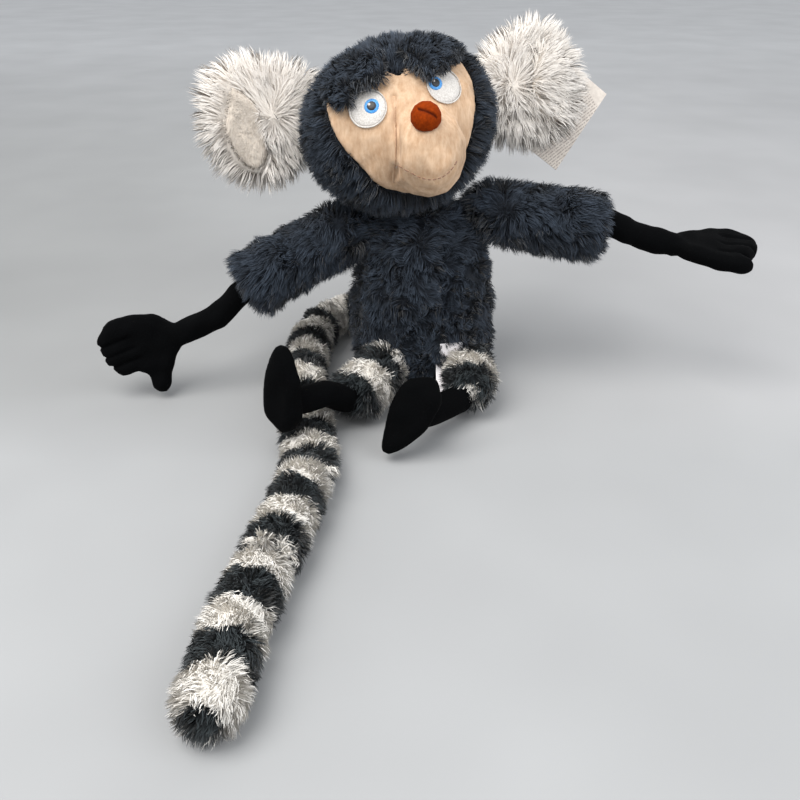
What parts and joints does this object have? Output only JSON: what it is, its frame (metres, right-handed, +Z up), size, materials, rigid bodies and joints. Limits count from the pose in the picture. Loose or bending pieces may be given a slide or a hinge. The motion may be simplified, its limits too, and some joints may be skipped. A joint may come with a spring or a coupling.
{
  "type": "stuffed monkey",
  "caption": "Sitting plush marmoset with a beige face, tufted white ears, slate fur body, stuffed black hands and feet, and a long banded tail that lies on the floor.",
  "frame": {"origin": "middle of the flat seat panel, on the floor the toy sits on", "axes": "+Z up out of the seat, the toy faces -Y, its left arm points along +X, its tail lies forward on its right side"},
  "size_m": [0.435, 0.4089, 0.227],
  "materials": {
    "slate_plush": "dark blue-grey long-pile plush, matte",
    "face_plush": "beige short-pile plush, matte",
    "white_plush": "white long-pile plush, matte",
    "cream_plush": "cream short-pile plush, matte",
    "striped_plush": "charcoal and white banded plush, matte",
    "black_velour": "black short velour, matte",
    "nose_suede": "rust brown suede cloth, matte",
    "eye_embroidery": "white, blue and black satin-stitch embroidery",
    "stuffing": "white polyester fibre filling",
    "pellets": "plastic pellets in an inner bag",
    "seam_thread": "doubled sewing thread",
    "satin_tape": "white woven satin tape, slight sheen",
    "card": "uncoated printed card",
    "nylon": "clear moulded nylon"
  },
  "bodies": {
    "torso": {"torso_front_panel": "slate_plush", "torso_back_panel": "slate_plush", "seat_panel": "slate_plush", "torso_stuffing": "stuffing", "pellet_bag": "pellets", "tail_thread": "seam_thread"},
    "care_label": {"care_label": "satin_tape"},
    "neck": {"neck_stuffing": "stuffing"},
    "neck_seam": {"neck_thread": "seam_thread"},
    "head": {"hood_left": "slate_plush", "hood_right": "slate_plush", "face_panel": "face_plush", "muzzle_panel": "face_plush", "muzzle_stuffing": "stuffing", "nose": "nose_suede", "eye_left": "eye_embroidery", "eye_right": "eye_embroidery", "forelock_left": "slate_plush", "forelock_right": "slate_plush", "head_stuffing": "stuffing"},
    "ear_right": {"ear_back_right": "white_plush", "ear_front_right": "cream_plush"},
    "ear_left": {"ear_back_left": "white_plush", "ear_front_left": "cream_plush", "tag_fastener": "nylon"},
    "hang_tag": {"hang_tag": "card"},
    "shoulder_right": {"shoulder_thread_right": "seam_thread"},
    "arm_right": {"sleeve_right": "slate_plush", "sleeve_stuffing_right": "stuffing"},
    "forearm_right": {"forearm_right": "black_velour"},
    "hand_right": {"hand_right": "black_velour"},
    "shoulder_left": {"shoulder_thread_left": "seam_thread"},
    "arm_left": {"sleeve_left": "slate_plush", "sleeve_stuffing_left": "stuffing"},
    "forearm_left": {"forearm_left": "black_velour"},
    "hand_left": {"hand_left": "black_velour"},
    "hip_right": {"hip_thread_right": "seam_thread"},
    "leg_right": {"thigh_right": "striped_plush", "thigh_stuffing_right": "stuffing"},
    "shin_right": {"shin_right": "black_velour"},
    "foot_right": {"foot_right": "black_velour"},
    "hip_left": {"hip_thread_left": "seam_thread"},
    "leg_left": {"thigh_left": "striped_plush", "thigh_stuffing_left": "stuffing"},
    "shin_left": {"shin_left": "black_velour"},
    "foot_left": {"foot_left": "black_velour"},
    "tail_1": {"tail_section_1": "striped_plush"},
    "tail_2": {"tail_section_2": "striped_plush"},
    "tail_3": {"tail_section_3": "striped_plush"},
    "tail_4": {"tail_section_4": "striped_plush"},
    "tail_5": {"tail_section_5": "striped_plush"}
  },
  "joints": [
    {"name": "neck_turn", "type": "hinge", "parent": "torso", "child": "neck", "pos_m": [-0.006, 0.009, 0.127], "axis": [0, 0, 1], "range_deg": [-30, 30]},
    {"name": "neck_tilt", "type": "hinge", "parent": "neck", "child": "neck_seam", "pos_m": [-0.006, 0.009, 0.127], "axis": [0, 1, 0], "range_deg": [-6, 15]},
    {"name": "head_nod", "type": "hinge", "parent": "neck_seam", "child": "head", "pos_m": [-0.006, 0.009, 0.127], "axis": [0.9613, 0.2756, 0], "range_deg": [-12, 8]},
    {"name": "ear_fold_right", "type": "hinge", "parent": "head", "child": "ear_right", "pos_m": [-0.07193, 0.01091, 0.18587], "axis": [-0.2649, 0.1225, 0.9565], "range_deg": [-20, 14]},
    {"name": "ear_fold_left", "type": "hinge", "parent": "head", "child": "ear_left", "pos_m": [0.03637, 0.03661, 0.18434], "axis": [0.2649, -0.1225, -0.9565], "range_deg": [-20, 14]},
    {"name": "hang_tag_swing", "type": "hinge", "parent": "ear_left", "child": "hang_tag", "pos_m": [0.08444, 0.05641, 0.17838], "axis": [-0.2293, 0.9554, -0.1859], "range_deg": [-25, 6]},
    {"name": "care_label_flap", "type": "hinge", "parent": "torso", "child": "care_label", "pos_m": [0.012, -0.044, 0.0475], "axis": [1, 0, 0], "range_deg": [-25, 2]},
    {"name": "shoulder_swing_right", "type": "hinge", "parent": "torso", "child": "shoulder_right", "pos_m": [-0.047, 0.006, 0.11], "axis": [0, 0, 1], "range_deg": [-20, 20]},
    {"name": "shoulder_lift_right", "type": "hinge", "parent": "shoulder_right", "child": "arm_right", "pos_m": [-0.047, 0.006, 0.11], "axis": [0, 1, 0], "range_deg": [-1, 22]},
    {"name": "elbow_right", "type": "hinge", "parent": "arm_right", "child": "forearm_right", "pos_m": [-0.119, -0.01, 0.072], "axis": [0, 1, 0], "range_deg": [-1, 18]},
    {"name": "wrist_right", "type": "hinge", "parent": "forearm_right", "child": "hand_right", "pos_m": [-0.163, -0.024, 0.046], "axis": [0.2059, -0.077, -0.9755], "range_deg": [-18, 18]},
    {"name": "shoulder_swing_left", "type": "hinge", "parent": "torso", "child": "shoulder_left", "pos_m": [0.046, 0.006, 0.12], "axis": [0, 0, 1], "range_deg": [-20, 20]},
    {"name": "shoulder_lift_left", "type": "hinge", "parent": "shoulder_left", "child": "arm_left", "pos_m": [0.046, 0.006, 0.12], "axis": [0, 1, 0], "range_deg": [-22, 18]},
    {"name": "elbow_left", "type": "hinge", "parent": "arm_left", "child": "forearm_left", "pos_m": [0.12, -0.003, 0.116], "axis": [0, 1, 0], "range_deg": [-18, 18]},
    {"name": "wrist_left", "type": "hinge", "parent": "forearm_left", "child": "hand_left", "pos_m": [0.164, -0.004, 0.101], "axis": [0.088, 0.989, 0.1187], "range_deg": [-18, 18]},
    {"name": "hip_swing_right", "type": "hinge", "parent": "torso", "child": "hip_right", "pos_m": [-0.025, -0.03, 0.024], "axis": [0, 0, 1], "range_deg": [0, 8]},
    {"name": "hip_lift_right", "type": "hinge", "parent": "hip_right", "child": "leg_right", "pos_m": [-0.025, -0.03, 0.024], "axis": [-1, 0, 0], "range_deg": [0, 30]},
    {"name": "knee_right", "type": "hinge", "parent": "leg_right", "child": "shin_right", "pos_m": [-0.048, -0.067, 0.02], "axis": [-1, 0, 0], "range_deg": [0, 18]},
    {"name": "ankle_right", "type": "hinge", "parent": "shin_right", "child": "foot_right", "pos_m": [-0.078, -0.101, 0.037], "axis": [-0.7922, 0.6102, 0.0091], "range_deg": [-12, 15]},
    {"name": "hip_swing_left", "type": "hinge", "parent": "torso", "child": "hip_left", "pos_m": [0.032, -0.025, 0.023], "axis": [0, 0, 1], "range_deg": [0, 12]},
    {"name": "hip_lift_left", "type": "hinge", "parent": "hip_left", "child": "leg_left", "pos_m": [0.032, -0.025, 0.023], "axis": [-1, 0, 0], "range_deg": [0, 5]},
    {"name": "knee_left", "type": "hinge", "parent": "leg_left", "child": "shin_left", "pos_m": [0.024, -0.061, 0.017], "axis": [-1, 0, 0], "range_deg": [0, 8]},
    {"name": "ankle_left", "type": "hinge", "parent": "shin_left", "child": "foot_left", "pos_m": [-0.009, -0.095, 0.022], "axis": [0.8226, -0.3995, -0.4046], "range_deg": [-3, 15]},
    {"name": "tail_swing", "type": "hinge", "parent": "torso", "child": "tail_1", "pos_m": [0, 0.047, 0.026], "axis": [0, 0, -1], "range_deg": [0, 20]},
    {"name": "tail_bend_1", "type": "hinge", "parent": "tail_1", "child": "tail_2", "pos_m": [-0.0742, 0.05981, 0.01538], "axis": [0, 0, -1], "range_deg": [0, 20]},
    {"name": "tail_bend_2", "type": "hinge", "parent": "tail_2", "child": "tail_3", "pos_m": [-0.07989, -0.03245, 0.01582], "axis": [0, 0, -1], "range_deg": [0, 20]},
    {"name": "tail_bend_3", "type": "hinge", "parent": "tail_3", "child": "tail_4", "pos_m": [-0.06869, -0.15222, 0.01516], "axis": [0, 0, -1], "range_deg": [-20, 18]},
    {"name": "tail_bend_4", "type": "hinge", "parent": "tail_4", "child": "tail_5", "pos_m": [-0.08101, -0.22588, 0.0154], "axis": [0, 0, -1], "range_deg": [-20, 20]}
  ]
}
